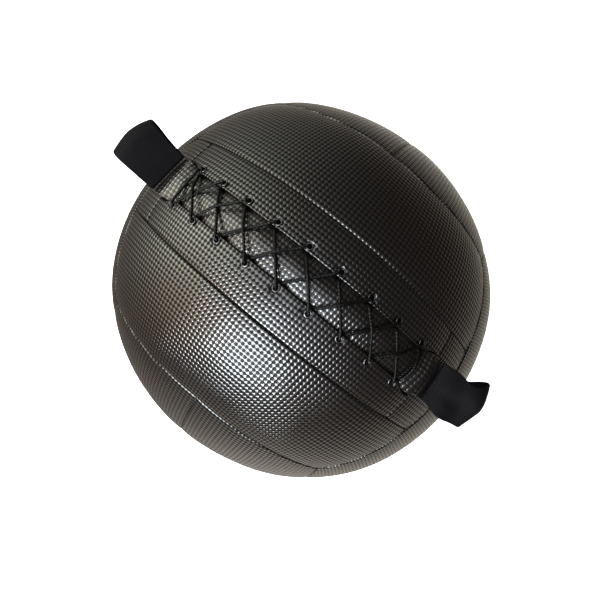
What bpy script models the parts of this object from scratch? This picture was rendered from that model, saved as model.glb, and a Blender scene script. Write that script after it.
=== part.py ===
"""A laced soft wall ball (medicine ball), resting with its laced side up.

+Z is up, +X runs along the lacing and the handles, and the origin is the middle of the resting patch.
The cover is sewn like a six-faced ball: three strips on the top and bottom faces, two panels on each side.
"""
import math

import bmesh
import bpy
from mathutils import Matrix, Vector

# Whole ball (metres)
BALL_RADIUS = 0.175
SETTLE = 0.004              # how far the ball sinks into its resting patch
PATCH_BLEND = 0.002         # rounding where the patch meets the ball
STRETCH = 0.012             # share by which the ball is longer along X and narrower along Y
CORNER_LIFT = 0.012         # share by which the eight seam corners stand proud
CENTRE = Vector((0.0, 0.0, BALL_RADIUS - SETTLE))

# Seam layout on the unit sphere
CORNER = 1 / math.sqrt(3)
LONG_EDGE = math.sin(math.radians(38.9))    # middle of a face's long edge, measured across the face
STRIP_EDGE = 0.36                           # seam beside the middle strip, as a share of the half face
BOTTOM_LINES = [-STRIP_EDGE, -0.17, 0.17, STRIP_EDGE]     # either side of the flat patch
CROSS_SEAM = math.radians(39.5)             # seam between a lacing flap and an end piece
SEAM_GAP = 0.0003

# Layers, as depths below the outer surface
COVER = 0.002
LINING_GAP = 0.0007
LINING = 0.008
BAG_DEPTH = 0.0135
BAG_THICKNESS = 0.001
FILL_DEPTH = 0.0152
CAVITY_RADIUS = 0.052
POUCH_RADIUS = 0.050
POUCH_THICKNESS = 0.001

# Lacing
EYELET_PAIRS = 9
EYELET_PITCH = math.radians(8.09)
EYELET_OFFSET = 0.0162      # from the middle of the slit
EYELET_BORE = 0.0015
EYELET_BARREL = 0.0019
EYELET_FLANGE = 0.0025
EYELET_HOLE = 0.0022
LACE_RADIUS = 0.00105
FLAP_EDGE = 0.0128          # half width of the slit
FLAP_EDGE_END = 0.0168      # half width where the strap comes out of it
SLIT_FLARE = (math.radians(33.5), math.radians(36.3))
LINING_SLOT = 0.0205

# Strap and handles
STRAP_THICKNESS = 0.002
STRAP_END = math.radians(39.6)
HINGE_ANGLE = math.radians(41.0)
HINGE_HEIGHT = 0.0037
WEBBING_WIDTH = 0.033
WEBBING_THICKNESS = 0.0018
LOOP_END_RADIUS = 0.0095
LOOP_ROOT_RADIUS = 0.0022

# Each handle: its length, its turn towards the far side, its rise above the ball's surface, its droop
HANDLES = {
    "left": {"length": 0.037, "yaw": math.radians(11), "rise": math.radians(58), "droop": 0.0},
    "right": {"length": 0.041, "yaw": math.radians(9), "rise": math.radians(44), "droop": math.radians(42)},
}

PARTS = bpy.data.collections.new("laced_wall_ball")
CUTTERS = bpy.data.collections.new("cutters")

FACES = {
    "top": ((1, 0, 0), (0, 1, 0), (0, 0, 1)),
    "bottom": ((1, 0, 0), (0, 1, 0), (0, 0, -1)),
    "right": ((0, 1, 0), (0, 0, 1), (1, 0, 0)),
    "left": ((0, 1, 0), (0, 0, 1), (-1, 0, 0)),
    "far": ((0, 0, 1), (1, 0, 0), (0, 1, 0)),
    "near": ((0, 0, 1), (1, 0, 0), (0, -1, 0)),
}
SIDES = {"far": 1, "near": -1}
ENDS = {"right": 1, "left": -1}


def clear_scene():
    for old in list(bpy.data.objects):
        bpy.data.objects.remove(old, do_unlink=True)
    for collection in (PARTS, CUTTERS):
        bpy.context.scene.collection.children.link(collection)


def make_material(name, colour, roughness, metallic=0.0):
    material = bpy.data.materials.new(name)
    material.use_nodes = True
    shader = material.node_tree.nodes["Principled BSDF"]
    shader.inputs["Base Color"].default_value = (*colour, 1.0)
    shader.inputs["Roughness"].default_value = roughness
    shader.inputs["Metallic"].default_value = metallic
    return material


def add_object(name, bm, material, collection=PARTS):
    bmesh.ops.recalc_face_normals(bm, faces=bm.faces[:])
    if bm.calc_volume(signed=True) < 0:
        bmesh.ops.reverse_faces(bm, faces=bm.faces[:])
    mesh = bpy.data.meshes.new(name)
    bm.to_mesh(mesh)
    bm.free()
    mesh.shade_smooth()
    mesh.set_sharp_from_angle(angle=math.radians(40))
    mesh.materials.append(material)
    obj = bpy.data.objects.new(name, mesh)
    collection.objects.link(obj)
    return obj


# The ball's surface ---------------------------------------------------------------------------------


def surface_radius(n):
    """Radius of the outer surface in the unit direction n."""
    corner = abs(n.x * n.y * n.z) / CORNER ** 3
    return BALL_RADIUS * (1 + CORNER_LIFT * corner ** 2 + STRETCH * (n.x ** 2 - n.y ** 2))


def settle(point, depth):
    """Flattens a layer at this depth where the ball rests."""
    above = point.z - depth
    if above < -PATCH_BLEND:
        above = 0.0
    elif above < PATCH_BLEND:
        above = (above + PATCH_BLEND) ** 2 / (4 * PATCH_BLEND)
    return Vector((point.x, point.y, depth + above))


def ball_point(n, depth):
    return settle(CENTRE + n * (surface_radius(n) - depth), depth)


def face_direction(face, s, t):
    """Direction on one face of the cover. s runs along its strips and t across them, from -1 to 1."""
    along, across, normal = (Vector(axis) for axis in FACES[face])
    edge_s = LONG_EDGE - (LONG_EDGE - CORNER) * s * s
    edge_t = LONG_EDGE - (LONG_EDGE - CORNER) * t * t
    reach = math.sqrt(1 - edge_t ** 2 - (CORNER * t) ** 2)
    a = s * reach
    b = t * edge_s
    return along * a + across * b + normal * math.sqrt(1 - a * a - b * b)


def strap_direction(angle, offset):
    """Direction at this angle along the lacing and this distance to the far side of its middle line."""
    lat = offset / BALL_RADIUS
    return Vector((math.sin(angle) * math.cos(lat), math.sin(lat), math.cos(angle) * math.cos(lat)))


def strap_point(angle, offset, height):
    return ball_point(strap_direction(angle, offset), -height)


def strip_seam_offset(angle):
    """Distance of the strip seam from the middle line, at this angle along the lacing."""
    y = STRIP_EDGE * LONG_EDGE
    for _ in range(12):
        share = math.sin(angle) * math.sqrt(1 - y * y) / strip_reach(STRIP_EDGE)
        y = STRIP_EDGE * (LONG_EDGE - (LONG_EDGE - CORNER) * share ** 2)
    return math.asin(y) * BALL_RADIUS


def strip_reach(t):
    edge = LONG_EDGE - (LONG_EDGE - CORNER) * t * t
    return math.sqrt(1 - edge ** 2 - (CORNER * t) ** 2)


def cross_seam_share(angle, t):
    """Place of a line of constant angle along the top strip, as a share of the strip's half length."""
    share = 0.8
    for _ in range(12):
        y = t * (LONG_EDGE - (LONG_EDGE - CORNER) * share ** 2)
        share = math.sin(angle) * math.sqrt(1 - y * y) / strip_reach(t)
    return share


def spread(low, high, count):
    return [low + (high - low) * i / count for i in range(count + 1)]


def warped_block(name, a_lines, b_lines, place, material):
    """A closed plate: a grid of a_lines by b_lines, extruded through its thickness, then put in place.

    place(a, b, w) gives a vertex's position, with w 0 on the outer surface and 1 on the inner one.
    """
    bm = bmesh.new()
    rows = len(a_lines) - 1
    columns = len(b_lines) - 1
    bmesh.ops.create_grid(bm, x_segments=rows, y_segments=columns, size=0.5)
    for vertex in bm.verts:
        a = a_lines[round((vertex.co.x + 0.5) * rows)]
        b = b_lines[round((vertex.co.y + 0.5) * columns)]
        vertex.co = (a, b, 0)
    inner = bmesh.ops.extrude_face_region(bm, geom=bm.faces[:], use_keep_orig=True)["geom"]
    for item in inner:
        if isinstance(item, bmesh.types.BMVert):
            item.co.z = 1
    for vertex in bm.verts:
        vertex.co = place(*vertex.co)
    return add_object(name, bm, material)


# Cover and lining -----------------------------------------------------------------------------------


def face_plate(name, face, t_lines, depths, material):
    """A plate between two depths that covers one face from the first of its t_lines to the last."""
    inset = SEAM_GAP / 2 / (0.55 * BALL_RADIUS)
    s_lines = spread(-1 + inset, 1 - inset, 9)
    t_lines = [t_lines[0] + inset, *t_lines[1:-1], t_lines[-1] - inset]

    def place(s, t, w):
        return ball_point(face_direction(face, s, t), depths[0] + w * (depths[1] - depths[0]))

    return warped_block(name, s_lines, t_lines, place, material)


def make_cover(material):
    depths = (0.0, COVER)
    outer = spread(STRIP_EDGE, 1, 2)
    outer_strips = {"near": [-t for t in reversed(outer)], "far": outer}
    for side, t_lines in outer_strips.items():
        face_plate(f"top_strip_{side}", "top", t_lines, depths, material)
        face_plate(f"bottom_strip_{side}", "bottom", t_lines, depths, material)
    face_plate("bottom_strip_centre", "bottom", BOTTOM_LINES, depths, material)
    halves = {-1: spread(-1, 0, 3), 1: spread(0, 1, 3)}
    for face in SIDES:
        for end, sign in ENDS.items():
            face_plate(f"{face}_panel_{end}", face, halves[sign], depths, material)
    for face in ENDS:
        face_plate(f"{face}_panel_lower", face, halves[-1], depths, material)
        face_plate(f"{face}_panel_upper", face, halves[1], depths, material)


def slit_half_width(angle):
    """Distance of a flap's free edge from the middle line."""
    start, end = SLIT_FLARE
    share = min(max((abs(angle) - start) / (end - start), 0.0), 1.0)
    return FLAP_EDGE + (FLAP_EDGE_END - FLAP_EDGE) * share


def make_flap(side, material):
    """The half of the middle strip that carries one row of eyelets."""
    sign = SIDES[side]
    row = [(i - EYELET_PAIRS / 2) * EYELET_PITCH for i in range(EYELET_PAIRS + 1)]
    end = CROSS_SEAM - SEAM_GAP / 2 / BALL_RADIUS
    angles = [-end, *row, end]

    def place(angle, share, w):
        inner = slit_half_width(angle)
        outer = strip_seam_offset(angle) - SEAM_GAP / 2
        return ball_point(strap_direction(angle, sign * (inner + (outer - inner) * share)), w * COVER)

    flap = warped_block(f"lacing_flap_{side}", angles, [0, 0.28, 1], place, material)
    for i in range(EYELET_PAIRS):
        hole = turned(f"eyelet_hole_{side}_{i + 1}", hole_profile(), material, CUTTERS)
        hole.matrix_world = eyelet_frame(i, sign)
        hole.hide_render = True
        hole.display_type = "WIRE"
        cut = flap.modifiers.new(hole.name, "BOOLEAN")
        cut.operation = "DIFFERENCE"
        cut.object = hole
    return flap


def make_end_piece(end, material):
    """The part of the middle strip between a cross seam and the ball's end, under the handle."""
    sign = ENDS[end]
    inset = SEAM_GAP / 2 / (0.55 * BALL_RADIUS)
    t_lines = spread(-STRIP_EDGE + inset, STRIP_EDGE - inset, 4)

    def place(q, t, w):
        first = cross_seam_share(CROSS_SEAM, t) + inset
        s = first + (1 - inset - first) * q
        return ball_point(face_direction("top", sign * s, t), w * COVER)

    return warped_block(f"top_end_piece_{end}", [0, 0.5, 1], t_lines, place, material)


def make_lining(material):
    """Foam pads under the cover, one for each face and two beside the slit."""
    first = COVER + LINING_GAP
    depths = (first, first + LINING)
    for face in ("near", "far", "left", "right"):
        face_plate(f"foam_lining_{face}", face, spread(-1, 1, 6), depths, material)
    outer = spread(STRIP_EDGE, 1, 2)
    mirrored = [-t for t in reversed(outer)]
    face_plate("foam_lining_bottom", "bottom", [*mirrored, *BOTTOM_LINES[1:-1], *outer], depths, material)
    slot = LINING_SLOT / BALL_RADIUS / LONG_EDGE
    face_plate("foam_lining_top_near", "top", [*mirrored, -slot], depths, material)
    face_plate("foam_lining_top_far", "top", [slot, *outer], depths, material)


# Contents -------------------------------------------------------------------------------------------


def dome(name, keep, outer_place, inner_place, material, segments=(24, 12)):
    """A sphere with part of it cut away, given a wall from its outer place to its inner place."""
    bm = bmesh.new()
    bmesh.ops.create_uvsphere(bm, u_segments=segments[0], v_segments=segments[1], radius=1)
    lost = [vertex for vertex in bm.verts if not keep(vertex.co.normalized())]
    bmesh.ops.delete(bm, geom=lost, context="VERTS")
    inner = bmesh.ops.extrude_face_region(bm, geom=bm.faces[:], use_keep_orig=True)["geom"]
    inner = {item for item in inner if isinstance(item, bmesh.types.BMVert)}
    for vertex in bm.verts:
        direction = vertex.co.normalized()
        vertex.co = inner_place(direction) if vertex in inner else outer_place(direction)
    return add_object(name, bm, material)


def make_inner_bag(material):
    mouth = math.cos(math.radians(20))
    return dome(
        "inner_bag",
        lambda n: n.z < mouth,
        lambda n: ball_point(n, BAG_DEPTH),
        lambda n: ball_point(n, BAG_DEPTH + BAG_THICKNESS),
        material,
    )


def make_filling(material):
    """Shredded fibre in two layers round the weight pouch."""
    gap = SEAM_GAP / 2
    for name, sign in (("filling_upper", 1), ("filling_lower", -1)):
        lift = Vector((0, 0, sign * gap))
        dome(
            name,
            lambda n: n.z * sign > -0.01,
            lambda n: ball_point(n, FILL_DEPTH) + lift,
            lambda n: CENTRE + n * CAVITY_RADIUS + lift,
            material,
        )


def make_sand_pouch(pouch_material, sand_material, tie_material):
    mouth = math.cos(math.radians(22))
    ball = (16, 10)
    dome(
        "sand_pouch",
        lambda n: n.z < mouth,
        lambda n: CENTRE + n * POUCH_RADIUS,
        lambda n: CENTRE + n * (POUCH_RADIUS - POUCH_THICKNESS),
        pouch_material,
        ball,
    )
    bm = bmesh.new()
    bmesh.ops.create_uvsphere(bm, u_segments=ball[0], v_segments=ball[1], radius=1)
    for vertex in bm.verts:
        level = min(vertex.co.z, 0.6)
        vertex.co = CENTRE + Vector((vertex.co.x, vertex.co.y, level)) * (POUCH_RADIUS - 0.0025)
    add_object("iron_sand", bm, sand_material)
    tie = turned("pouch_tie", [(0.0130, 0.0015), (0.0150, 0.0015), (0.0150, -0.0015), (0.0130, -0.0015)],
                 tie_material, PARTS, steps=16)
    tie.matrix_world = Matrix.Translation(CENTRE + Vector((0, 0, 0.0450)))


# Lacing ---------------------------------------------------------------------------------------------


def turned(name, profile, material, collection, steps=8):
    """A closed profile of (radius, height) points turned about its own Z axis."""
    mesh = bpy.data.meshes.new(name)
    count = len(profile)
    edges = [(i, (i + 1) % count) for i in range(count)]
    mesh.from_pydata([(radius, 0, height) for radius, height in profile], edges, [])
    obj = bpy.data.objects.new(name, mesh)
    collection.objects.link(obj)
    mesh.materials.append(material)
    screw = obj.modifiers.new("Turn", "SCREW")
    screw.steps = steps
    screw.render_steps = steps
    screw.use_merge_vertices = True
    screw.merge_threshold = 0.00001
    screw.use_smooth_shade = True
    return obj


def flap_dip():
    """How far a flap's flat facets lie below the round surface at the eyelets."""
    return BALL_RADIUS * (1 - math.cos(EYELET_PITCH / 2))


def eyelet_angle(index):
    return (index - (EYELET_PAIRS - 1) / 2) * EYELET_PITCH


def eyelet_frame(index, sign):
    """Matrix with +Z out of the flap through an eyelet and its origin on the flap's face."""
    n = strap_direction(eyelet_angle(index), sign * EYELET_OFFSET)
    origin = ball_point(n, flap_dip())
    return Matrix.Translation(origin) @ n.to_track_quat("Z", "Y").to_matrix().to_4x4()


def hole_profile():
    reach = 0.004
    return [(0.0, reach), (EYELET_HOLE, reach), (EYELET_HOLE, -reach - COVER), (0.0, -reach - COVER)]


def eyelet_profile():
    top = 0.00015
    bottom = -COVER - 0.00015
    lip = 0.00045
    return [
        (EYELET_BORE, top + lip),
        (EYELET_FLANGE - 0.0003, top + lip),
        (EYELET_FLANGE, top),
        (EYELET_BARREL, top),
        (EYELET_BARREL, bottom),
        (EYELET_FLANGE, bottom),
        (EYELET_FLANGE - 0.0003, bottom - lip),
        (EYELET_BORE, bottom - lip),
    ]


def make_eyelets(material):
    for side, sign in SIDES.items():
        for i in range(EYELET_PAIRS):
            eyelet = turned(f"eyelet_{side}_{i + 1}", eyelet_profile(), material, PARTS)
            eyelet.matrix_world = eyelet_frame(i, sign)


# One pass of the lace round an eyelet: (distance along the lacing, share of the side, height), all in
# millimetres, with the offset counted from the middle line. It comes over the flap, goes down the
# eyelet, and comes back up round the flap's free edge.
EYELET_PASS = [
    (-3.2, 11.6, 1.95),
    (-1.4, 14.4, 1.75),
    (-0.3, 15.6, 1.25),
    (0.0, 16.2, 0.20),
    (0.0, 16.2, -3.30),
    (0.1, 15.5, -4.25),
    (0.5, 13.8, -4.45),
    (0.9, 12.2, -3.90),
    (1.2, 11.35, -2.60),
    (1.5, 11.15, -0.90),
    (2.1, 10.4, 0.35),
]
# Heights of a strand across the strap, at these offsets, where it lies under or over its neighbour.
UNDER_STRAND = [(5.0, 1.15), (0.0, 1.30), (-6.0, 1.45)]
OVER_STRAND = [(6.0, 1.80), (2.2, 3.45), (0.0, 3.70), (-2.2, 3.50), (-6.5, 2.30)]
# The bar across the first pair of eyelets: (distance along, offset, height).
START_BAR = [
    (-1.2, 12.6, 1.80), (-1.6, 6.0, 1.30), (-1.7, 0.0, 1.20), (-1.6, -6.0, 1.30), (-1.2, -12.6, 1.80),
]
# The two free ends beyond the last pair cross each other and are tucked in behind the opposite flap.
TUCKED_END = [(4.7, -10.2, 0.20), (4.9, -11.3, -1.40), (5.1, -11.7, -3.40)]


def strand(index, sign, heights):
    """Points from the flap edge beside one eyelet, across the strap, towards the next one opposite."""
    pitch = EYELET_PITCH * BALL_RADIUS * 1000
    start = EYELET_PASS[-1]
    end_along = pitch + EYELET_PASS[0][0]
    end_offset = -EYELET_PASS[0][1]
    points = []
    for offset, height in heights:
        share = (start[1] - offset) / (start[1] - end_offset)
        along = start[0] + (end_along - start[0]) * share
        points.append(lace_point(index, sign, along, offset, height))
    return points


def lace_point(index, sign, along, offset, height):
    """A lace point given in millimetres from eyelet number index, on the side that sign says."""
    angle = eyelet_angle(index) + along / 1000 / BALL_RADIUS
    return strap_point(angle, sign * offset / 1000, height / 1000)


def half_lace(start_sign, heights):
    """One of the two halves of the lace, zigzagging from the first pair of eyelets to past the last."""
    points = []
    for i in range(EYELET_PAIRS):
        sign = start_sign * (-1) ** i
        first = 1 if i == 0 else 0
        points += [lace_point(i, sign, *place) for place in EYELET_PASS[first:]]
        if i < EYELET_PAIRS - 1:
            points += strand(i, sign, heights)
    last = EYELET_PAIRS - 1
    end_sign = start_sign * (-1) ** last
    for offset, height in heights:
        along = 2.1 + 2.6 * (10.4 - offset) / 20.6
        points.append(lace_point(last, end_sign, along, offset, height))
    points += [lace_point(last, end_sign, *place) for place in TUCKED_END]
    return points


def make_lace(material):
    over = half_lace(1, OVER_STRAND)
    under = half_lace(-1, UNDER_STRAND)
    bar = [lace_point(0, 1, *place) for place in START_BAR]
    points = over[::-1] + bar + under
    curve = bpy.data.curves.new("lace", "CURVE")
    curve.dimensions = "3D"
    curve.bevel_depth = LACE_RADIUS
    curve.bevel_resolution = 2
    curve.use_fill_caps = True
    spline = curve.splines.new("POLY")
    spline.points.add(len(points) - 1)
    for point, place in zip(spline.points, points):
        point.co = (*place, 1)
    curve.materials.append(material)
    lace = bpy.data.objects.new("lace", curve)
    PARTS.objects.link(lace)


# Strap and handles ----------------------------------------------------------------------------------

# Height of the strap's face below the flaps, from its middle line to its edge, in millimetres:
# (share of the half width, height in the slit, height on the end pieces).
STRAP_SECTION = [
    (0.0, -0.2, 3.3),
    (0.22, -0.6, 3.2),
    (0.45, -1.8, 3.0),
    (0.64, -3.7, 2.7),
    (0.80, -5.9, 2.5),
    (1.0, -7.2, 2.4),
]


def strap_rise(angle):
    """0 where the strap lies in the slit, 1 where it lies on the end pieces."""
    share = (abs(math.degrees(angle)) - 34.6) / (38.6 - 34.6)
    share = min(max(share, 0.0), 1.0)
    return share * share * (3 - 2 * share)


def strap_height(angle, share):
    for (x0, low0, high0), (x1, low1, high1) in zip(STRAP_SECTION, STRAP_SECTION[1:]):
        if abs(share) <= x1 + 1e-6:
            q = (abs(share) - x0) / (x1 - x0)
            low = low0 + (low1 - low0) * q
            high = high0 + (high1 - high0) * q
            return (low + (high - low) * strap_rise(angle)) / 1000
    return 0.0


def skewed(end, angle, offset, share):
    """Angle along the lacing of a line that runs parallel to the handle's sewn root, where share is 1."""
    return angle - ENDS[end] * share * offset * math.tan(HANDLES[end]["yaw"]) / BALL_RADIUS


def make_strap(material):
    degrees = [0, 7, 14, 21, 28, 34.4, 35.7, 37, 38.3]
    right = [math.radians(d) for d in degrees[1:]] + [STRAP_END]
    angles = [-a for a in reversed(right)] + [0] + right
    shares = [x for x, _, _ in STRAP_SECTION]
    shares = [-x for x in reversed(shares[1:])] + shares

    def place(angle, share, w):
        offset = share * (0.0155 + 0.0004 * strap_rise(angle))
        height = strap_height(angle, share) - w * STRAP_THICKNESS
        end = "right" if angle > 0 else "left"
        at_end = 1.0 if abs(angle) > STRAP_END - 1e-6 else 0.0
        return strap_point(skewed(end, angle, offset, at_end), offset, height)

    return warped_block("tongue_strap", angles, shares, place, material)


def make_handle_tab(end, material):
    """The stitched ends of the webbing, flat on the end piece under the handle's root."""
    low, high = STRAP_END + 0.0006 / BALL_RADIUS, HINGE_ANGLE + 0.020
    angles = [ENDS[end] * a for a in spread(low, high, 2)]
    offsets = spread(-0.0157, 0.0157, 4)

    def place(angle, offset, w):
        return strap_point(skewed(end, angle, offset, 1.0), offset, 0.0011 - w * 0.0008)

    return warped_block(f"{end}_handle_tab", angles, offsets, place, material)


def loop_outline(length, shrink, bend):
    """Outline of a handle's loop in its own X-Z plane, root at the origin, drooping by bend."""
    root = LOOP_ROOT_RADIUS
    tip = LOOP_END_RADIUS - shrink
    reach = length - LOOP_END_RADIUS
    slope = math.asin((LOOP_END_RADIUS - root) / reach)
    if shrink:
        root = 0.0006
    start = 0.0 if not shrink else 0.009
    points = []
    for i in range(7):
        turn = -math.pi / 2 - slope + (math.pi + 2 * slope) * i / 6
        points.append((reach + tip * math.cos(turn), tip * math.sin(turn)))
    for i in range(1, 5):
        q = i / 5
        points.append((reach + (start - reach) * q, tip + (root - tip) * q))
    for i in range(5):
        turn = math.pi / 2 + math.pi * i / 4
        points.append((start + root * math.cos(turn), root * math.sin(turn)))
    for i in range(1, 5):
        q = i / 5
        points.append((start + (reach - start) * q, -root + (root - tip) * q))
    return [bend_point(x, z, length, bend) for x, z in points]


def bend_point(x, z, length, bend):
    """Bends a point about a circular arc that turns down by bend over the loop's length."""
    if abs(bend) < 1e-6 or x <= 0:
        return x, z
    radius = length / bend
    turn = x / radius
    return (radius + z) * math.sin(turn), (radius + z) * math.cos(turn) - radius


def handle_frame(end):
    """Matrix of a handle's hinge: X leads away along the ball, Z out of it, and -Y is the hinge's axis."""
    out = strap_direction(ENDS[end] * HINGE_ANGLE, 0)
    away = Vector((out.z, 0, -out.x)) * ENDS[end]
    yaw = HANDLES[end]["yaw"]
    away = away * math.cos(yaw) + Vector((0, 1, 0)) * math.sin(yaw)
    across = out.cross(away)
    frame = Matrix((away, across, out)).transposed().to_4x4()
    frame.translation = strap_point(ENDS[end] * HINGE_ANGLE, 0, HINGE_HEIGHT)
    return frame


def make_handle(end, material):
    """A webbing loop that turns about the line where it is sewn to the ball."""
    curve = bpy.data.curves.new(f"{end}_loop_outline", "CURVE")
    curve.dimensions = "2D"
    curve.fill_mode = "BOTH"
    curve.extrude = WEBBING_WIDTH / 2
    for shrink in (0.0, WEBBING_THICKNESS):
        spline = curve.splines.new("POLY")
        outline = loop_outline(HANDLES[end]["length"], shrink, HANDLES[end]["droop"])
        spline.points.add(len(outline) - 1)
        spline.use_cyclic_u = True
        for point, (x, z) in zip(spline.points, outline):
            point.co = (x, z, 0, 1)
    outline_object = bpy.data.objects.new(curve.name, curve)
    PARTS.objects.link(outline_object)
    bpy.context.view_layer.update()
    evaluated = outline_object.evaluated_get(bpy.context.evaluated_depsgraph_get())
    mesh = bpy.data.meshes.new_from_object(evaluated)
    bpy.data.objects.remove(outline_object, do_unlink=True)
    bm = bmesh.new()
    bm.from_mesh(mesh)
    bmesh.ops.remove_doubles(bm, verts=bm.verts[:], dist=0.00001)
    upright = Matrix.Rotation(math.pi / 2, 4, "X")
    lifted = Matrix.Rotation(-HANDLES[end]["rise"], 4, "Y")
    bmesh.ops.transform(bm, matrix=lifted @ upright, verts=bm.verts[:])
    handle = add_object(f"{end}_handle_loop", bm, material)
    handle.matrix_world = handle_frame(end)
    return handle


def main():
    clear_scene()
    vinyl = make_material("black_vinyl", (0.02, 0.02, 0.02), 0.35)
    strap_vinyl = make_material("strap_vinyl", (0.025, 0.025, 0.025), 0.3)
    webbing = make_material("black_webbing", (0.012, 0.012, 0.014), 0.75)
    metal = make_material("eyelet_metal", (0.08, 0.08, 0.08), 0.3, 1.0)
    cord = make_material("lace_cord", (0.01, 0.01, 0.01), 0.7)
    foam = make_material("lining_foam", (0.12, 0.12, 0.12), 0.9)
    canvas = make_material("bag_canvas", (0.5, 0.46, 0.38), 0.9)
    fibre = make_material("shredded_fibre", (0.35, 0.33, 0.32), 1.0)
    sand = make_material("iron_sand", (0.06, 0.06, 0.065), 0.6, 0.6)

    make_cover(vinyl)
    for side in SIDES:
        make_flap(side, vinyl)
    for end in ENDS:
        make_end_piece(end, vinyl)
    make_lining(foam)
    make_inner_bag(canvas)
    make_filling(fibre)
    make_sand_pouch(canvas, sand, cord)
    make_strap(strap_vinyl)
    make_eyelets(metal)
    make_lace(cord)
    for end in ENDS:
        make_handle_tab(end, webbing)
        make_handle(end, webbing)


main()
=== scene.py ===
"""Looks of the laced soft medicine ball: fine cover panels, seams, strap, lace, eyelets and webbing handles.

Everything is in metres in the CAD frame: +Z up, +X along the lacing, origin in the middle of the
resting patch.
"""

import math

import bmesh
import bpy
import numpy as np
from mathutils import Matrix, Vector


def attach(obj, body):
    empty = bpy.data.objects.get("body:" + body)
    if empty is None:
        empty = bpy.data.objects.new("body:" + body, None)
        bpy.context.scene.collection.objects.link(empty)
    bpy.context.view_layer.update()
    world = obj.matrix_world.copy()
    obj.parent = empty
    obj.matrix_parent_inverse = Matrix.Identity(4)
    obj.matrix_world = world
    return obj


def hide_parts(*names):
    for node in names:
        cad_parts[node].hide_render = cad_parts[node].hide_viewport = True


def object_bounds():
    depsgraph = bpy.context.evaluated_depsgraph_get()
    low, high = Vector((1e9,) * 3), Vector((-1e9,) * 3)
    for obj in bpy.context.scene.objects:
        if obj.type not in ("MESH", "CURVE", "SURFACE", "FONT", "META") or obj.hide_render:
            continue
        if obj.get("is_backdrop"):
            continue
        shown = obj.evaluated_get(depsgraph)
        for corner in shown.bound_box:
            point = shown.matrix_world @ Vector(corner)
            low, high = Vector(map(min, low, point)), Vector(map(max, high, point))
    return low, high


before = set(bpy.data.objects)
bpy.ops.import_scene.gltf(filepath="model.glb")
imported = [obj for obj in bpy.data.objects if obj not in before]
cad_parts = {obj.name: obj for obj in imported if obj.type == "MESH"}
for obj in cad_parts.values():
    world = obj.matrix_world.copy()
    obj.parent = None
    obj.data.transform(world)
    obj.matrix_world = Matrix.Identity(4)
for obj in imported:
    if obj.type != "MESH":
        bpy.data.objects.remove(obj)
CAD_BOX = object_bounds()

# The ball's shape, as the CAD has it
BALL_RADIUS = 0.175
SETTLE = 0.004              # how far the ball sinks into its resting patch
PATCH_BLEND = 0.002         # rounding where the patch meets the ball
STRETCH = 0.012             # share by which the ball is longer along X and narrower along Y
CORNER_LIFT = 0.012         # share by which the eight seam corners stand proud
CENTRE = np.array([0.0, 0.0, BALL_RADIUS - SETTLE])
CORNER = 1 / math.sqrt(3)
LONG_EDGE = math.sin(math.radians(38.9))    # middle of a face's long edge, measured across the face
STRIP_EDGE = 0.36                           # seam beside the middle strip, as a share of the half face
CROSS_SEAM = math.radians(39.5)             # seam between a lacing flap and an end piece
SEAM_GAP = 0.0003
SOLVER_ROUNDS = 12          # enough for the place where two seams cross to settle
EYELET_PAIRS = 9
EYELET_PITCH = math.radians(8.09)
EYELET_OFFSET = 0.0162      # from the middle of the slit
FLAP_EDGE = 0.0128          # half width of the slit
FLAP_EDGE_END = 0.0168      # half width where the strap comes out of it
SLIT_FLARE = (math.radians(33.5), math.radians(36.3))
STRAP_END = math.radians(39.6)
HINGE_ANGLE = math.radians(41.0)
HINGE_HEIGHT = 0.0037
LACE_RADIUS = 0.00105
ENDS = {"right": 1, "left": -1}
SIDES = {"far": 1, "near": -1}

# Each handle: its length, its turn towards the far side, its rise above the ball's surface, its droop
HANDLES = {
    "left": {"length": 0.037, "yaw": math.radians(11), "rise": math.radians(58), "droop": 0.0},
    "right": {"length": 0.041, "yaw": math.radians(9), "rise": math.radians(44), "droop": math.radians(42)},
}
WEBBING_WIDTH = 0.0330
WEBBING_THICKNESS = 0.0016
LOOP_END_RADIUS = 0.0095
LOOP_ROOT_RADIUS = 0.0022

FACES = {
    "top": ((1, 0, 0), (0, 1, 0), (0, 0, 1)),
    "bottom": ((1, 0, 0), (0, 1, 0), (0, 0, -1)),
    "right": ((0, 1, 0), (0, 0, 1), (1, 0, 0)),
    "left": ((0, 1, 0), (0, 0, 1), (-1, 0, 0)),
    "far": ((0, 0, 1), (1, 0, 0), (0, 1, 0)),
    "near": ((0, 0, 1), (1, 0, 0), (0, -1, 0)),
}

# Fine shape of the sewn cover
SKIN = 0.0009               # vinyl and its backing
LIP_RADIUS = 0.0012         # a panel's edge rolls down into the seam
LIP_SHARE = 0.85            # part of that roll that shows
SEAM_DIP = 0.0007           # the wider hollow along a seam
SEAM_DIP_WIDTH = 0.0075
PUCKER = 0.00016
PUCKER_PITCH = 0.0085
PUCKER_REACH = (0.0012, 0.0055)     # the puckers start and fade at these distances from the seam
LUMP = 0.0004
CELL = 0.0045               # mesh cell away from the edges
EDGE_LINES = [0, 0.0002, 0.0005, 0.0009, 0.0014, 0.0022, 0.0034, 0.0052, 0.0078, 0.0114]
HEM_RADIUS = 0.0009         # rounding of the flaps' free edges and of the strap's edges
FLAP_THICKNESS = 0.0016
FLAP_LATITUDE = 0.12        # radians from the middle line to the middle of a flap
EYELET_SEAT = 0.0042        # round each eyelet the flap lies flat within this radius
PUNCH_RADIUS = 0.0021
PUNCH_DEPTH = 0.009

# Metres per unit of a face's own coordinates, near enough to space its grid lines
SEAM_SCALE = 0.55 * BALL_RADIUS
PANEL_SCALE = (0.15, 0.11)
FLAP_SCALE = 0.026
END_PIECE_SCALE = (0.040, 0.105)

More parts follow.
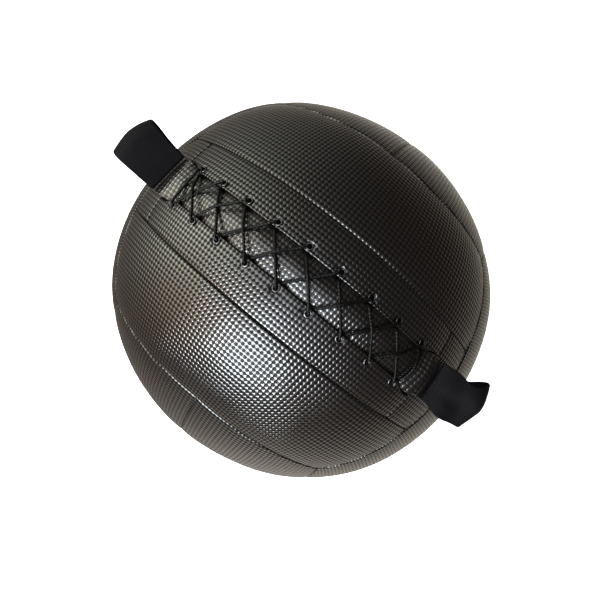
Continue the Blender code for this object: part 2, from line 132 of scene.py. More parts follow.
# Embossed dots, twill and canvas
EMBOSS_PITCH = (0.0030, 0.0032)
EMBOSS_HEIGHT = 0.00022
RIB_PITCH = 0.0014
TWILL_PITCH = 0.0015
TWILL_HEIGHT = 0.00013
CANVAS_PITCH = 0.0016

# Stitches: depth below the surface, pitch, thread's share of the pitch, thread radius
SEAM_STITCH = (0.00135, 0.0042, 0.7, 0.00017)
HEM_STITCH = (0.00035, 0.0026, 0.7, 0.00016)
HEM_STITCH_INSET = 0.0011
HEM_STITCH_END = 0.008      # radians left free at both ends of a flap
STITCH_ARCH = 0.0006
THREAD_SIDES = 6
THREAD_START = (0.31, 0.74, 0.59)       # any direction that no stitch runs along

# Rolled eyelets
FLANGE_RADIUS = 0.00205     # middle of the flange's roll
FLANGE_WIDTH = 0.00050      # half width of the roll
FLANGE_HEIGHT = 0.00042
FLANGE_TOP = 0.00018
FLANGE_BOTTOM = -0.0019
EYELET_WAIST = [(0.00195, -0.0001), (0.0019, -0.0017)]
EYELET_SEGMENTS = 28

# Twisted lace
LACE_STEP = 0.00045         # distance between the mesh's rings
LACE_TURN = 0.0066          # one turn of the three plies
LACE_SIDES = 15
LACE_WAIST = 0.66           # radius between two plies, as a share of the lace's radius
LACE_PLY = 0.42             # how much further out a ply reaches

# Strap
STRAP_HALF_WIDTH = 0.0155
STRAP_WIDENING = 0.0007     # outside the slit
STRAP_RISE = (34.6, 4.0)    # where the strap starts to climb out of the slit, and over how many degrees
STRAP_SKEW_START = math.radians(36)
STRAP_VINYL = 0.0019
STRAP_GROOVE = (0.0024, 0.0005, 0.00028)    # stitched groove: from the edge, half width, depth
ROOT_GATHER = 0.0036        # how far the crumpled handle draws in the near edge of its root
ROOT_GATHER_SPAN = (math.radians(36.8), math.radians(2.8))
ROOT_BUNCH = 0.0010         # how far the strap stands up beside it
ROOT_BUNCH_PLACE = (37.2, 1.1)              # degrees along the strap: middle and half width
DIMPLE_DEPTH = 0.0029       # the lace's dent in the strap
DIMPLE_PLACE = (0.0006, 0.0137)             # along from the eyelets, across from the middle
DIMPLE_SIZE = (0.0024, 0.0031)

# Webbing
WEBBING_RINGS = 121
WEBBING_EDGE_LINES = [0, 0.00015, 0.0004, 0.0008, 0.0014, 0.0024]
TAB_EDGE_LINES = [0, 0.0002, 0.0005, 0.001, 0.002]
THINNEST_EDGE = 0.00012
EDGE_BAND = 0.004           # evenly spaced lines start this far from the webbing's edge
HALF_STRIP = 0.0165         # half width that scales distances across the strap and the handles
TAB_HALF_WIDTH = 0.0160
TAB_START = 0.0004          # gap between the strap's end and the tab
TAB_REACH = 0.020           # radians beyond the hinge
TAB_TOP = 0.00125
TAB_BASE = 0.0002
TAB_ROUND = 0.0005


# Surface ----------


def surface_radius(n):
    """Distance from the ball's centre to its surface in the directions n."""
    corner = np.abs(n[..., 0] * n[..., 1] * n[..., 2]) / CORNER ** 3
    return BALL_RADIUS * (1 + CORNER_LIFT * corner ** 2 + STRETCH * (n[..., 0] ** 2 - n[..., 1] ** 2))


def ball_point(n, depth):
    """Points at a depth below the ball's surface, flattened where the ball rests."""
    n = np.asarray(n, float)
    depth = np.broadcast_to(depth, n.shape[:-1])
    point = CENTRE + n * (surface_radius(n) - depth)[..., None]
    above = point[..., 2] - depth
    blended = (above + PATCH_BLEND) ** 2 / (4 * PATCH_BLEND)
    above = np.where(above < -PATCH_BLEND, 0.0, np.where(above < PATCH_BLEND, blended, above))
    point[..., 2] = depth + above
    return point


def edge_curve(share):
    """A long seam's distance from a face's middle line, on the unit sphere, at a share of its length."""
    return LONG_EDGE - (LONG_EDGE - CORNER) * share * share


def strip_reach(t):
    """Half the length of a face along the line t, on the unit sphere."""
    return np.sqrt(1 - edge_curve(t) ** 2 - (CORNER * t) ** 2)


def face_direction(face, s, t):
    """Directions of a face's points: s runs along it from -1 to 1, and t across it."""
    along, across, normal = (np.array(axis, float) for axis in FACES[face])
    a = s * strip_reach(t)
    b = t * edge_curve(s)
    c = np.sqrt(1 - a * a - b * b)
    return a[..., None] * along + b[..., None] * across + c[..., None] * normal


def strap_direction(angle, offset):
    """Directions of points by their angle along the lacing and their offset across it in metres."""
    lat = offset / BALL_RADIUS
    angle, lat = np.broadcast_arrays(angle, lat)
    return np.stack([np.sin(angle) * np.cos(lat), np.sin(lat), np.cos(angle) * np.cos(lat)], axis=-1)


def strap_point(angle, offset, height):
    n = strap_direction(np.asarray(angle, float), np.asarray(offset, float))
    return ball_point(n, -np.asarray(height))


def lumps(n):
    """Slow unevenness of the stuffing, from a few fixed waves."""
    rng = np.random.default_rng(7)
    total = np.zeros(n.shape[:-1])
    for _ in range(14):
        wave = rng.normal(size=3)
        wave *= rng.uniform(7, 17) / np.linalg.norm(wave)
        total += np.sin(n @ wave + rng.uniform(0, 2 * math.pi))
    return total / 3.7 * LUMP


def rounding(edge, radius):
    """How far a rounded edge lies below the face, at a distance from the edge."""
    inside = np.clip(radius - edge, 0, radius)
    return radius - np.sqrt(radius ** 2 - inside ** 2)


def seam_drop(distance, along):
    """How far the cover sinks at this distance from a seam."""
    dip = SEAM_DIP * np.exp(-distance / SEAM_DIP_WIDTH)
    wave = np.sin(2 * math.pi * along / PUCKER_PITCH + 2.0 * np.sin(along / 0.031))
    start, fade = PUCKER_REACH
    pucker = PUCKER * wave * np.exp(-distance / fade) * (1 - np.exp(-distance / start))
    return rounding(distance, LIP_RADIUS) * LIP_SHARE + dip + pucker


# Mesh helpers ----------


def graded(low, high, scale):
    """Grid lines from low to high, fine beside both ends. scale is the size of one unit in metres."""
    width = (high - low) * scale
    steps = max(2, round((width - 2 * EDGE_LINES[-1]) / CELL))
    middle = np.linspace(EDGE_LINES[-1], width - EDGE_LINES[-1], steps + 1)
    places = np.concatenate([EDGE_LINES[:-1], middle, width - np.array(EDGE_LINES[-2::-1])])
    return low + places / scale


def add_mesh(name, verts, faces, material, uvs=None):
    mesh = bpy.data.meshes.new(name)
    mesh.from_pydata(verts.tolist(), [], faces)
    if uvs is not None:
        layer = mesh.uv_layers.new(name="Weave")
        index = np.empty(len(mesh.loops), dtype=np.int32)
        mesh.loops.foreach_get("vertex_index", index)
        layer.data.foreach_set("uv", uvs[index].astype(np.float32).ravel())
    mesh.shade_smooth()
    mesh.materials.append(material)
    obj = bpy.data.objects.new(name, mesh)
    bpy.context.scene.collection.objects.link(obj)
    return obj


def plate(name, outer, inner, uv, material):
    """A closed plate from two grids of points. Its faces are turned to point out."""
    rows, columns = outer.shape[:2]
    count = rows * columns
    index = np.arange(count).reshape(rows, columns)
    corners = [index[:-1, :-1], index[1:, :-1], index[1:, 1:], index[:-1, 1:]]
    quads = np.stack(corners, axis=-1).reshape(-1, 4)
    border = np.concatenate([index[:-1, 0], index[-1, :-1], index[:0:-1, -1], index[0, :0:-1]])
    following = np.roll(border, -1)
    walls = np.stack([following, border, border + count, following + count], axis=-1)
    centre = outer[rows // 2, columns // 2] - inner[rows // 2, columns // 2]
    a, b, c = (outer.reshape(-1, 3)[i] for i in quads[len(quads) // 2][:3])
    flip = np.dot(np.cross(b - a, c - a), centre) < 0
    faces = np.concatenate([quads, quads[:, ::-1] + count, walls])
    if flip:
        faces = faces[:, ::-1]
    verts = np.concatenate([outer.reshape(-1, 3), inner.reshape(-1, 3)])
    uvs = np.concatenate([uv.reshape(-1, 2)] * 2)
    return add_mesh(name, verts, faces.tolist(), material, uvs)


def on_ball(obj, *nodes, slot):
    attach(obj, "ball")
    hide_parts(*nodes)
    return obj


# Materials ----------


class Nodes:
    """A short way to write the node tree of a material or a world."""

    def __init__(self, owner, shader):
        owner.use_nodes = True
        self.owner = owner
        self.tree = owner.node_tree
        self.shader = self.tree.nodes[shader]

    def add(self, kind, inputs=None, **settings):
        node = self.tree.nodes.new(kind)
        for key, value in settings.items():
            setattr(node, key, value)
        for key, value in (inputs or {}).items():
            self.put(node.inputs[key], value)
        return node

    def put(self, socket, value):
        if isinstance(value, bpy.types.NodeSocket):
            self.tree.links.new(value, socket)
        else:
            socket.default_value = value

    def math(self, operation, a, b=0.0):
        return self.add("ShaderNodeMath", {0: a, 1: b}, operation=operation).outputs[0]

    def mix(self, factor, a, b):
        node = self.add("ShaderNodeMix", data_type="RGBA")
        self.put(node.inputs[0], factor)
        self.put(node.inputs[6], a)
        self.put(node.inputs[7], b)
        return node.outputs[2]

    def noise(self, vector, scale, detail=3.0, roughness=0.5):
        inputs = {"Vector": vector, "Scale": scale, "Detail": detail, "Roughness": roughness}
        return self.add("ShaderNodeTexNoise", inputs).outputs["Fac"]

    def ramp(self, value, low, high, out_low=0.0, out_high=1.0):
        inputs = {0: value, 1: low, 2: high, 3: out_low, 4: out_high}
        return self.add("ShaderNodeMapRange", inputs).outputs[0]

    def uv(self):
        vector = self.add("ShaderNodeUVMap", uv_map="Weave").outputs[0]
        parts = self.add("ShaderNodeSeparateXYZ", {0: vector})
        return parts.outputs[0], parts.outputs[1]

    def place(self):
        return self.add("ShaderNodeTexCoord").outputs["Object"]

    def set(self, **values):
        for key, value in values.items():
            self.put(self.shader.inputs[key.replace("_", " ")], value)

    def bump(self, height, distance, strength=1.0, normal=None):
        inputs = {"Height": height, "Distance": distance, "Strength": strength}
        if normal is not None:
            inputs["Normal"] = normal
        return self.add("ShaderNodeBump", inputs).outputs[0]


def new_material(name):
    return Nodes(bpy.data.materials.new(name), "Principled BSDF")


def periodic(nodes, kind, value, pitch):
    """SINE or COSINE of a length, once round for every pitch."""
    return nodes.math(kind, nodes.math("MULTIPLY", value, 2 * math.pi / pitch))


def vinyl_material(name, tone, roughness, valley):
    """Black vinyl embossed all over with rows of small round dots. valley is the gloss between them."""
    nodes = new_material(name)
    u, v = nodes.uv()
    waves = [periodic(nodes, "COSINE", length, pitch) for length, pitch in zip((u, v), EMBOSS_PITCH)]
    check = nodes.math("MULTIPLY", nodes.math("ADD", *waves), 0.5)
    step = nodes.add("ShaderNodeMapRange", {0: check, 1: -0.6, 2: 0.85}, interpolation_type="SMOOTHSTEP")
    dots = step.outputs[0]
    place = nodes.place()
    scuff = nodes.noise(place, 38.0, 5.0, 0.65)
    cloud = nodes.noise(place, 9.0, 2.0)
    grain = nodes.noise(place, 2600.0, 2.0)
    # The base colour is darker in the valleys between the dots and lighter on the dots: painted shade in the
    # valleys, with the dots' tops painted lighter, scaled by a random cloud.
    dark = (tone * 0.7, tone * 0.58, tone * 0.52, 1)
    light = (tone * 1.5, tone * 1.3, tone * 1.2, 1)
    colour = nodes.mix(nodes.math("MULTIPLY", dots, nodes.ramp(cloud, 0.3, 0.7, 0.6, 1.0)), dark, light)
    rough = nodes.math("ADD", nodes.ramp(scuff, 0.35, 0.75, roughness - 0.03, roughness + 0.08),
                       nodes.ramp(dots, 0, 1, 0.12, 0.0))
    height = nodes.math("MULTIPLY", dots, nodes.ramp(cloud, 0.25, 0.75, 0.85, 1.1))
    normal = nodes.bump(height, EMBOSS_HEIGHT, 1.0, nodes.bump(grain, 0.00002, 0.2))
    nodes.set(Base_Color=colour, Roughness=rough, Normal=normal)
    # The lower gloss in the valleys (valley) stands in for their shade: painted shade.
    nodes.set(Specular_IOR_Level=nodes.ramp(dots, 0.05, 0.75, valley, 0.85))
    return nodes.owner


def webbing_material():
    """Black nylon webbing: ribs along its length, crossed by a fine twill."""
    nodes = new_material("black_webbing")
    u, v = nodes.uv()
    rib = periodic(nodes, "SINE", u, RIB_PITCH)
    slant = nodes.math("ADD", nodes.math("MULTIPLY", u, 0.6), v)
    pick = periodic(nodes, "SINE", slant, TWILL_PITCH)
    height = nodes.math("ADD", nodes.math("MULTIPLY", rib, 0.3), nodes.math("MULTIPLY", pick, 0.6))
    fuzz = nodes.noise(nodes.place(), 900.0, 4.0, 0.7)
    worn = nodes.noise(nodes.place(), 45.0, 3.0)
    # The colour follows the weave's relief and fuzz: darker where the yarn lies low and lighter where it
    # stands up, painted shade of the weave; worn adds a random mottle.
    tone = nodes.ramp(nodes.math("ADD", height, nodes.math("MULTIPLY", fuzz, 0.9)), -0.5, 1.4)
    shade = nodes.math("MULTIPLY", tone, nodes.ramp(worn, 0.35, 0.7, 0.55, 1.0))
    colour = nodes.mix(shade, (0.0005, 0.00045, 0.0007, 1), (0.0036, 0.0031, 0.0040, 1))
    normal = nodes.bump(height, TWILL_HEIGHT, 1.0, nodes.bump(fuzz, 0.0001, 0.5))
    nodes.set(Base_Color=colour, Roughness=nodes.ramp(tone, 0, 1, 0.7, 0.46), Normal=normal)
    nodes.set(Specular_IOR_Level=nodes.ramp(tone, 0, 1, 0.01, 0.06))
    nodes.set(Sheen_Weight=0.004, Sheen_Roughness=0.4, Sheen_Tint=(0.6, 0.58, 0.7, 1))
    return nodes.owner


def cord_material(name, tone):
    """Smooth dark fibre, for the lace and the sewing thread."""
    nodes = new_material(name)
    fibre = nodes.noise(nodes.place(), 1700.0, 3.0, 0.6)
    dark = (tone * 0.4, tone * 0.38, tone * 0.38, 1)
    light = (tone * 1.7, tone * 1.65, tone * 1.6, 1)
    colour = nodes.mix(fibre, dark, light)
    nodes.set(Base_Color=colour, Roughness=0.28, Normal=nodes.bump(fibre, 0.0001, 0.6))
    nodes.set(Specular_IOR_Level=0.11)
    return nodes.owner


def metal_material():
    nodes = new_material("eyelet_metal")
    wear = nodes.noise(nodes.place(), 900.0, 3.0)
    colour = nodes.mix(nodes.ramp(wear, 0.5, 0.75), (0.05, 0.05, 0.055, 1), (0.22, 0.22, 0.22, 1))
    nodes.set(Base_Color=colour, Roughness=nodes.ramp(wear, 0.3, 0.7, 0.16, 0.3), Metallic=1.0)
    return nodes.owner


def plain_material(name, low, high, scale, roughness, bump):
    """Colour and height that follow one noise: foam, fibre or sand."""
    nodes = new_material(name)
    grain = nodes.noise(nodes.place(), scale, 6.0, 0.7)
    nodes.set(Base_Color=nodes.mix(nodes.ramp(grain, 0.3, 0.7), low, high), Roughness=roughness)
    nodes.set(Normal=nodes.bump(grain, bump, 0.8))
    return nodes.owner


def canvas_material():
    nodes = new_material("bag_canvas")
    place = nodes.add("ShaderNodeSeparateXYZ", {0: nodes.place()})
    waves = [periodic(nodes, "SINE", length, CANVAS_PITCH) for length in place.outputs]
    weave = nodes.math("MULTIPLY", nodes.math("ADD", waves[0], waves[1]), waves[2])
    # The colour follows the weave's relief: darker where it lies low and lighter where it stands up, painted
    # shade of the weave.
    colour = nodes.mix(nodes.ramp(weave, -1, 1), (0.30, 0.27, 0.22, 1), (0.52, 0.48, 0.40, 1))
    nodes.set(Base_Color=colour, Roughness=0.9, Normal=nodes.bump(weave, 0.0002, 0.8))
    return nodes.owner


# Cover panels ----------


def panel(node, face, t_range, material):
    """One panel that runs the whole length of a face, between two of its t lines."""
    inset = SEAM_GAP / 2 / SEAM_SCALE
    t_low, t_high = t_range[0] + inset, t_range[1] - inset
    s_lines = graded(-1 + inset, 1 - inset, PANEL_SCALE[0])
    t_lines = graded(t_low, t_high, PANEL_SCALE[1])
    s, t = np.meshgrid(s_lines, t_lines, indexing="ij")
    n = face_direction(face, s, t)
    outline = [
        (face_direction(face, np.full_like(s, s_lines[0]), t), 1),
        (face_direction(face, np.full_like(s, s_lines[-1]), t), 1),
        (face_direction(face, s, np.full_like(t, t_low)), 0),
        (face_direction(face, s, np.full_like(t, t_high)), 0),
    ]
    middle = (t_range[0] + t_range[1]) / 2 * LONG_EDGE
    along_axis, across_axis, normal_axis = (np.array(axis, float) for axis in FACES[face])
    along = np.arctan2(n @ along_axis, n @ normal_axis) * math.cos(math.asin(middle)) * BALL_RADIUS
    across = np.arcsin(n @ across_axis) * BALL_RADIUS
    depth = -lumps(n)
    for edge, runs_across in outline:
        distance = np.linalg.norm(n - edge, axis=-1) * BALL_RADIUS
        depth = depth + seam_drop(distance, across if runs_across else along)
    uv = np.stack([along, across], axis=-1)
    piece = plate(node + "_vinyl", ball_point(n, depth), ball_point(n, depth + SKIN), uv, material)
    return on_ball(piece, node, slot="black_vinyl")


def make_panels(material):
    for side, (low, high) in {"near": (-1, -STRIP_EDGE), "far": (STRIP_EDGE, 1)}.items():
        panel(f"top_strip_{side}", "top", (low, high), material)
        panel(f"bottom_strip_{side}", "bottom", (low, high), material)
    panel("bottom_strip_centre", "bottom", (-STRIP_EDGE, STRIP_EDGE), material)
    for face in SIDES:
        panel(f"{face}_panel_left", face, (-1, 0), material)
        panel(f"{face}_panel_right", face, (0, 1), material)
    for face in ENDS:
        panel(f"{face}_panel_lower", face, (-1, 0), material)
        panel(f"{face}_panel_upper", face, (0, 1), material)


def slit_half_width(angle):
    share = np.clip((np.abs(angle) - SLIT_FLARE[0]) / (SLIT_FLARE[1] - SLIT_FLARE[0]), 0, 1)
    return FLAP_EDGE + (FLAP_EDGE_END - FLAP_EDGE) * share


def strip_seam_offset(angle):
    """Distance from the middle of the slit to the seam beside the middle strip."""
    y = np.full_like(angle, STRIP_EDGE * LONG_EDGE)
    for _ in range(SOLVER_ROUNDS):
        share = np.sin(angle) * np.sqrt(1 - y * y) / strip_reach(STRIP_EDGE)
        y = STRIP_EDGE * edge_curve(share)
    return np.arcsin(y) * BALL_RADIUS


def eyelet_angle(index):
    return (index - (EYELET_PAIRS - 1) / 2) * EYELET_PITCH


def flap_dip():
    """How far below the surface the straight chord between two eyelets passes."""
    return BALL_RADIUS * (1 - math.cos(EYELET_PITCH / 2))


def eyelet_frame(index, sign):
    n = strap_direction(np.array(eyelet_angle(index)), np.array(sign * EYELET_OFFSET))
    origin = Vector(ball_point(n, flap_dip()))
    return Matrix.Translation(origin) @ Vector(n).to_track_quat("Z", "Y").to_matrix().to_4x4()


def make_flap(side, material):
    """The laced half of the middle strip: a hemmed free edge, eyelet holes, seams on the other sides."""
    sign = SIDES[side]
    end = CROSS_SEAM - SEAM_GAP / 2 / BALL_RADIUS
    angles = graded(-end, end, BALL_RADIUS)
    shares = graded(0, 1, FLAP_SCALE)
    angle, share = np.meshgrid(angles, shares, indexing="ij")
    inner = slit_half_width(angle)
    outer = strip_seam_offset(angle) - SEAM_GAP / 2
    offset = inner + (outer - inner) * share
    n = strap_direction(angle, sign * offset)
    along = angle * BALL_RADIUS
    depth = seam_drop(outer - offset, along) - lumps(n)
    for side_end in (-end, end):
        depth = depth + seam_drop(np.abs(angle - side_end) * BALL_RADIUS, offset)
    depth = depth + rounding(offset - inner, HEM_RADIUS)
    seat = np.zeros_like(depth)
    for i in range(EYELET_PAIRS):
        reach2 = (along - eyelet_angle(i) * BALL_RADIUS) ** 2 + (offset - EYELET_OFFSET) ** 2
        seat = np.maximum(seat, np.exp(-reach2 / EYELET_SEAT ** 2))
    depth = depth * (1 - seat) + flap_dip() * 0.85 * seat
    uv = np.stack([along * math.cos(FLAP_LATITUDE), sign * offset], axis=-1)
    top, under = ball_point(n, depth), ball_point(n, depth + FLAP_THICKNESS)
    piece = plate(f"lacing_flap_{side}_vinyl", top, under, uv, material)
    cut_eyelet_holes(piece, sign)
    return on_ball(piece, f"lacing_flap_{side}", slot="black_vinyl")


def cut_eyelet_holes(piece, sign):
    bm = bmesh.new()
    for i in range(EYELET_PAIRS):
        bmesh.ops.create_cone(bm, cap_ends=True, segments=20, radius1=PUNCH_RADIUS, radius2=PUNCH_RADIUS,
                              depth=PUNCH_DEPTH, matrix=eyelet_frame(i, sign))
    mesh = bpy.data.meshes.new("eyelet_punch")
    bm.to_mesh(mesh)
    bm.free()
    punch = bpy.data.objects.new("eyelet_punch", mesh)
    bpy.context.scene.collection.objects.link(punch)
    cut = piece.modifiers.new("Punch", "BOOLEAN")
    cut.operation = "DIFFERENCE"
    cut.object = punch
    bpy.context.view_layer.update()
    evaluated = piece.evaluated_get(bpy.context.evaluated_depsgraph_get())
    piece.data = bpy.data.meshes.new_from_object(evaluated)
    piece.modifiers.clear()
    bpy.data.objects.remove(punch, do_unlink=True)


def make_end_piece(end, material):
    """The end of the middle strip, between the cross seam and the face's edge."""
    sign = ENDS[end]
    inset = SEAM_GAP / 2 / SEAM_SCALE
    t_lines = graded(-STRIP_EDGE + inset, STRIP_EDGE - inset, END_PIECE_SCALE[1])
    q_lines = graded(0, 1, END_PIECE_SCALE[0])
    q, t = np.meshgrid(q_lines, t_lines, indexing="ij")
    first = np.full_like(t, 0.8)
    for _ in range(SOLVER_ROUNDS):
        y = t * edge_curve(first)
        first = np.sin(CROSS_SEAM) * np.sqrt(1 - y * y) / strip_reach(t)
    first = first + inset
    s = sign * (first + (1 - inset - first) * q)
    n = face_direction("top", s, t)
    along = np.arctan2(n[..., 0], n[..., 2]) * BALL_RADIUS
    across = np.arcsin(n[..., 1]) * BALL_RADIUS
    depth = -lumps(n)
    for ring in (
        face_direction("top", sign * first, t),
        face_direction("top", np.full_like(s, sign * (1 - inset)), t),
        face_direction("top", s, np.full_like(t, t_lines[0])),
        face_direction("top", s, np.full_like(t, t_lines[-1])),
    ):
        depth = depth + seam_drop(np.linalg.norm(n - ring, axis=-1) * BALL_RADIUS, along + across)
    uv = np.stack([along, across], axis=-1)
    top, under = ball_point(n, depth), ball_point(n, depth + SKIN)
    piece = plate(f"top_end_piece_{end}_vinyl", top, under, uv, material)
    return on_ball(piece, f"top_end_piece_{end}", slot="black_vinyl")


# Stitches ----------


def frames_along(points, normal):
    """Each point of a path, with two directions across the path that don't twist on the way."""
    tangents = np.gradient(points, axis=0)
    tangents /= np.linalg.norm(tangents, axis=1)[:, None]
    for point, tangent in zip(points, tangents):
        normal = normal - tangent * (normal @ tangent)
        normal /= np.linalg.norm(normal)
        yield point, normal, np.cross(tangent, normal)


def travelled(line):
    """Distance along a line of points, from its start to each of them."""
    return np.concatenate([[0], np.cumsum(np.linalg.norm(np.diff(line, axis=0), axis=1))])


def points_at(line, places):
    """Points at these distances along a line."""
    travel = travelled(line)
    return np.stack([np.interp(places, travel, column) for column in line.T], axis=1)


def softened(line, rounds):
    """The line with its bends eased and its ends in place."""
    for _ in range(rounds):
        line[1:-1] = 0.5 * line[1:-1] + 0.25 * (line[:-2] + line[2:])
    return line


def tube_faces(rings, sides):
    """Faces of a closed tube whose rings of points follow each other."""
    index = np.arange(rings * sides).reshape(rings, sides)
    following = np.roll(index, -1, axis=1)
    corners = [index[:-1], following[:-1], following[1:], index[1:]]
    quads = np.stack(corners, axis=-1).reshape(-1, 4)
    return quads.tolist() + [index[0, ::-1].tolist(), index[-1].tolist()]


def tube(points, radii):
    """Vertices and faces of a thin thread through the points."""
    turn = np.arange(THREAD_SIDES)[:, None] * 2 * math.pi / THREAD_SIDES
    start = np.cross(points[1] - points[0], THREAD_START)
    rings = []
    for (point, normal, other), radius in zip(frames_along(points, start), radii):
        rings.append(point + radius * (np.cos(turn) * normal + np.sin(turn) * other))
    return np.concatenate(rings), tube_faces(len(rings), THREAD_SIDES)


def stitch_run(line, depth, pitch, share, radius):
    """Threads along a line of directions: each one dips into the cover at both ends."""
    length = travelled(line)[-1] * BALL_RADIUS
    count = int(length // pitch)
    margin = (length - count * pitch) / 2
    arch = np.array([-0.6, 0.25, 0.5, 0.25, -0.6]) * STITCH_ARCH
    runs = []
    for i in range(count):
        places = margin + (i + 0.5) * pitch + np.linspace(-0.5, 0.5, 5) * pitch * share
        n = points_at(line, places / BALL_RADIUS)
        n /= np.linalg.norm(n, axis=1)[:, None]
        points = ball_point(n, depth - lumps(n) - arch)
        runs.append(tube(points, radius * np.array([0.8, 1, 1, 1, 0.8])))
    return runs


def seam_lines():
    """Directions along every sewn seam of the cover."""
    share = np.linspace(-1, 1, 61)
    one = np.ones_like(share)
    lines = []
    for face in ("top", "bottom"):
        for edge in (-1, 1):
            lines.append(face_direction(face, edge * one, share))
            lines.append(face_direction(face, share, edge * one))
            lines.append(face_direction(face, share, edge * STRIP_EDGE * one))
    for face in ENDS:
        for edge in (-1, 1):
            lines.append(face_direction(face, edge * one, share))
    for face in ("near", "far", "left", "right"):
        lines.append(face_direction(face, share, 0 * one))
    for sign in ENDS.values():
        limit = strip_seam_offset(np.array([CROSS_SEAM]))[0]
        lines.append(strap_direction(sign * CROSS_SEAM, share * limit))
    return lines


def add_stitches(name, runs, material):
    verts, faces, count = [], [], 0
    for run_verts, run_faces in runs:
        verts.append(run_verts)
        faces += [tuple(i + count for i in face) for face in run_faces]
        count += len(run_verts)
    piece = add_mesh(name, np.concatenate(verts), faces, material)
    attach(piece, "ball")


def make_seam_stitches(material):
    runs = []
    for line in seam_lines():
        runs += stitch_run(line, *SEAM_STITCH)
    add_stitches("seam_stitches", runs, material)


def make_hem_stitches(material):
    """A line of top stitching along each flap's free edge."""
    runs = []
    limit = CROSS_SEAM - HEM_STITCH_END
    angles = np.linspace(-limit, limit, 161)
    offset = slit_half_width(angles) + HEM_STITCH_INSET
    for sign in SIDES.values():
        runs += stitch_run(strap_direction(angles, sign * offset), *HEM_STITCH)
    add_stitches("flap_stitches", runs, material)


# Eyelets and lace ----------


def eyelet_profile():
    """Closed section of an eyelet: (radius, height) round its upper roll, its barrel and its lower roll."""
    turns = [math.pi * i / 6 for i in range(7)]
    rolls = [(FLANGE_WIDTH * math.cos(turn), FLANGE_HEIGHT * math.sin(turn)) for turn in turns]
    upper = [(FLANGE_RADIUS - across, FLANGE_TOP + up) for across, up in rolls]
    lower = [(FLANGE_RADIUS + across, FLANGE_BOTTOM - up) for across, up in rolls]
    return upper + EYELET_WAIST + lower


def spun(profile, segments):
    """Vertices and faces of a closed profile turned once round the Z axis."""
    size = len(profile)
    verts, faces = [], []
    for step in range(segments):
        turn = 2 * math.pi * step / segments
        verts += [(r * math.cos(turn), r * math.sin(turn), z) for r, z in profile]
        first, second = step * size, (step + 1) % segments * size
        for j in range(size):
            k = (j + 1) % size
            faces.append((first + j, first + k, second + k, second + j))
    return np.array(verts), faces


def make_eyelets(material):
    """Rolled metal eyelets: a rounded flange above and below the flap, joined by the barrel."""
    verts, faces = spun(eyelet_profile(), EYELET_SEGMENTS)
    for side, sign in SIDES.items():
        for index in range(EYELET_PAIRS):
            name = f"eyelet_{side}_{index + 1}"
            piece = add_mesh(name + "_metal", verts, faces, material)
            piece.data.flip_normals()
            piece.data.transform(eyelet_frame(index, sign))
            on_ball(piece, name, slot="eyelet_metal")


# One pass of the lace round an eyelet, in millimetres: (along the lacing, offset from the middle, height).
EYELET_PASS = [
    (-3.2, 11.6, 1.95), (-1.4, 14.4, 1.75), (-0.3, 15.6, 1.25), (0.0, 16.2, 0.20), (0.0, 16.2, -3.30),
    (0.1, 15.5, -4.25), (0.5, 13.8, -4.45), (0.9, 12.2, -3.90), (1.2, 11.35, -2.60), (1.5, 11.15, -0.90),
    (2.1, 10.4, 0.35),
]
# Heights of a strand across the strap, at these offsets, where it lies under or over its neighbour
UNDER_STRAND = [(5.0, 1.15), (0.0, 1.30), (-6.0, 1.45)]
OVER_STRAND = [(6.0, 1.80), (2.2, 3.45), (0.0, 3.70), (-2.2, 3.50), (-6.5, 2.30)]
# The bar across the first pair of eyelets
START_BAR = [
    (-1.2, 12.6, 1.80), (-1.6, 6.0, 1.30), (-1.7, 0.0, 1.20), (-1.6, -6.0, 1.30), (-1.2, -12.6, 1.80),
]
# The free ends beyond the last pair, which are tucked in behind the flaps
LAST_CROSSING = 4.8
TUCKED_END = [(4.7, -10.2, 0.20), (4.9, -11.3, -1.40), (5.1, -11.7, -3.40)]


def lace_point(index, sign, along, offset, height):
    """A point beside an eyelet pair, in millimetres. sign is the side that the offset counts towards."""
    angle = eyelet_angle(index) + along / 1000 / BALL_RADIUS
    return strap_point(angle, sign * offset / 1000, height / 1000)


def strand(index, sign, heights, end_along):
    """The lace's way from one eyelet across the strap to the next one on the other side."""
    start = EYELET_PASS[-1]
    reach = start[1] + EYELET_PASS[0][1]
    points = []
    for offset, height in heights:
        along = start[0] + (end_along - start[0]) * (start[1] - offset) / reach
        points.append(lace_point(index, sign, along, offset, height))
    return points


def half_lace(start_sign, heights):
    """One half of the lace, zigzagging from the first pair of eyelets to the last."""
    pitch = EYELET_PITCH * BALL_RADIUS * 1000
    points = []
    for i in range(EYELET_PAIRS):
        sign = start_sign * (-1) ** i
        points += [lace_point(i, sign, *place) for place in EYELET_PASS[1 if i == 0 else 0:]]
        if i < EYELET_PAIRS - 1:
            points += strand(i, sign, heights, pitch + EYELET_PASS[0][0])
    points += strand(EYELET_PAIRS - 1, sign, heights, LAST_CROSSING)
    points += [lace_point(EYELET_PAIRS - 1, sign, *place) for place in TUCKED_END]
    return points


def smooth_route(points, spacing):
    """Evenly spaced points on a smooth curve through the given ones."""
    p = np.array(points)
    p = np.concatenate([[2 * p[0] - p[1]], p, [2 * p[-1] - p[-2]]])
    t = np.linspace(0, 1, 12, endpoint=False)[:, None]
    curve = []
    for a, b, c, d in zip(p, p[1:], p[2:], p[3:]):
        curve.append(0.5 * (2 * b + (c - a) * t + (2 * a - 5 * b + 4 * c - d) * t ** 2
                            + (3 * b - a - 3 * c + d) * t ** 3))
    curve = np.concatenate(curve)
    length = travelled(curve)[-1]
    return softened(points_at(curve, np.linspace(0, length, int(length / spacing))), 3)


